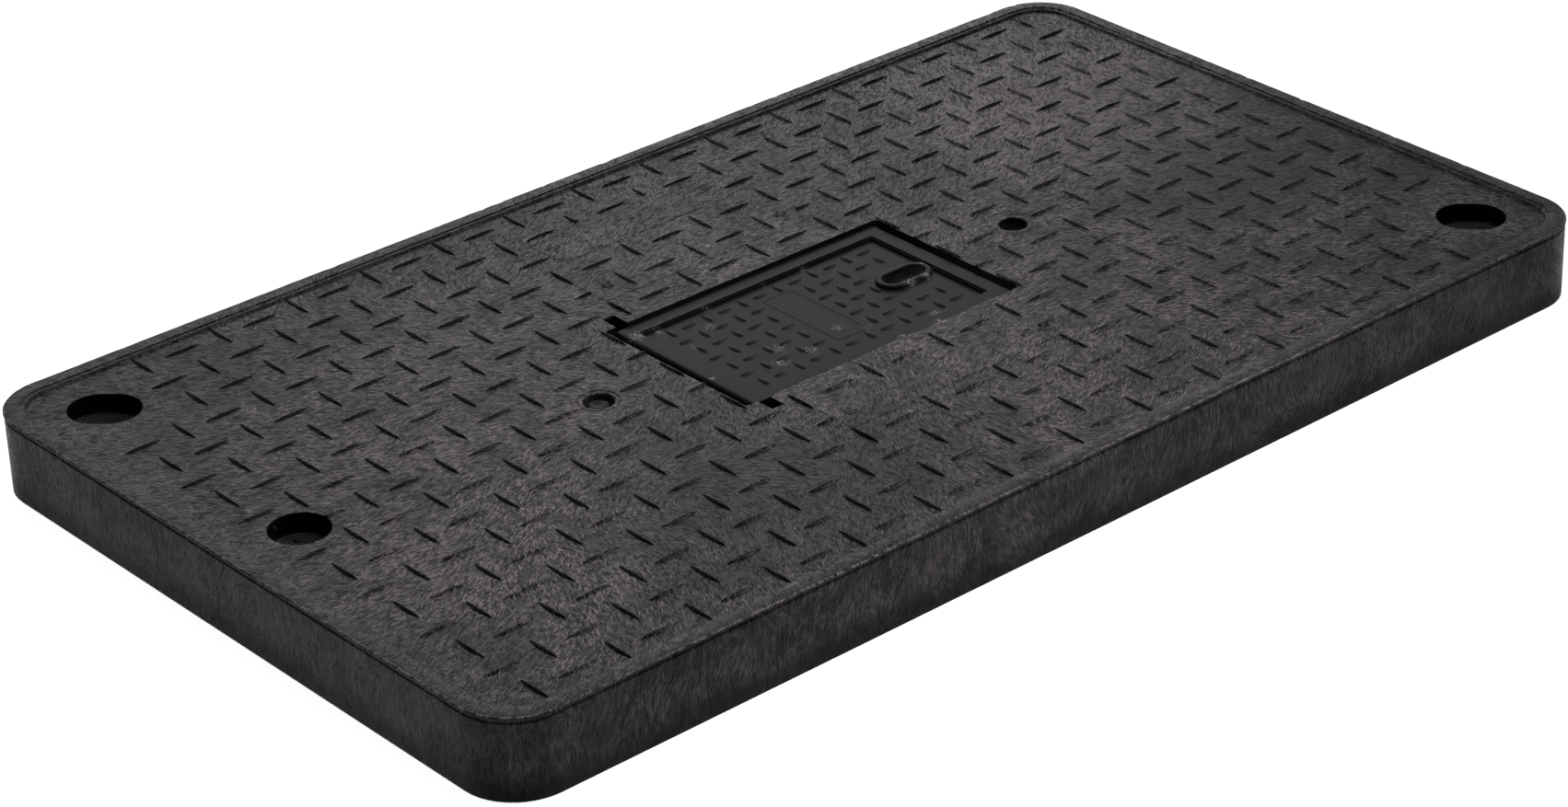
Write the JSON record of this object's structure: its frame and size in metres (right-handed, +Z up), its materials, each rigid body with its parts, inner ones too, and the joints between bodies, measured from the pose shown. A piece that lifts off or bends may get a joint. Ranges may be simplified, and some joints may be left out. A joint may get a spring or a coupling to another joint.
{
  "type": "water meter box cover",
  "caption": "Moulded plastic cover for a water meter box, with a raised rim, lens-shaped tread lugs, blind lifting holes, a ribbed underside and a hinged reader lid with a finger slot.",
  "frame": {"origin": "the middle of the plane that the cover rests on", "axes": "+X along the long side, away from the reader lid's hinge; +Y along the short side, towards the larger sign plate; +Z up, out of the tread"},
  "size_m": [0.7874, 0.4528, 0.0476],
  "materials": {
    "cover_plastic": "moulded, with fine flow streaks and a satin sheen",
    "lid_plastic": "moulded, satin, smoother than the cover"
  },
  "bodies": {
    "cover": {"cover": "cover_plastic"},
    "reader_lid": {"reader_lid": "lid_plastic"}
  },
  "joints": [
    {"name": "lid_hinge", "type": "hinge", "parent": "cover", "child": "reader_lid", "pos_m": [-0.088, 0, 0.0356], "axis": [0, -1, 0], "range_deg": [0, 105]}
  ]
}
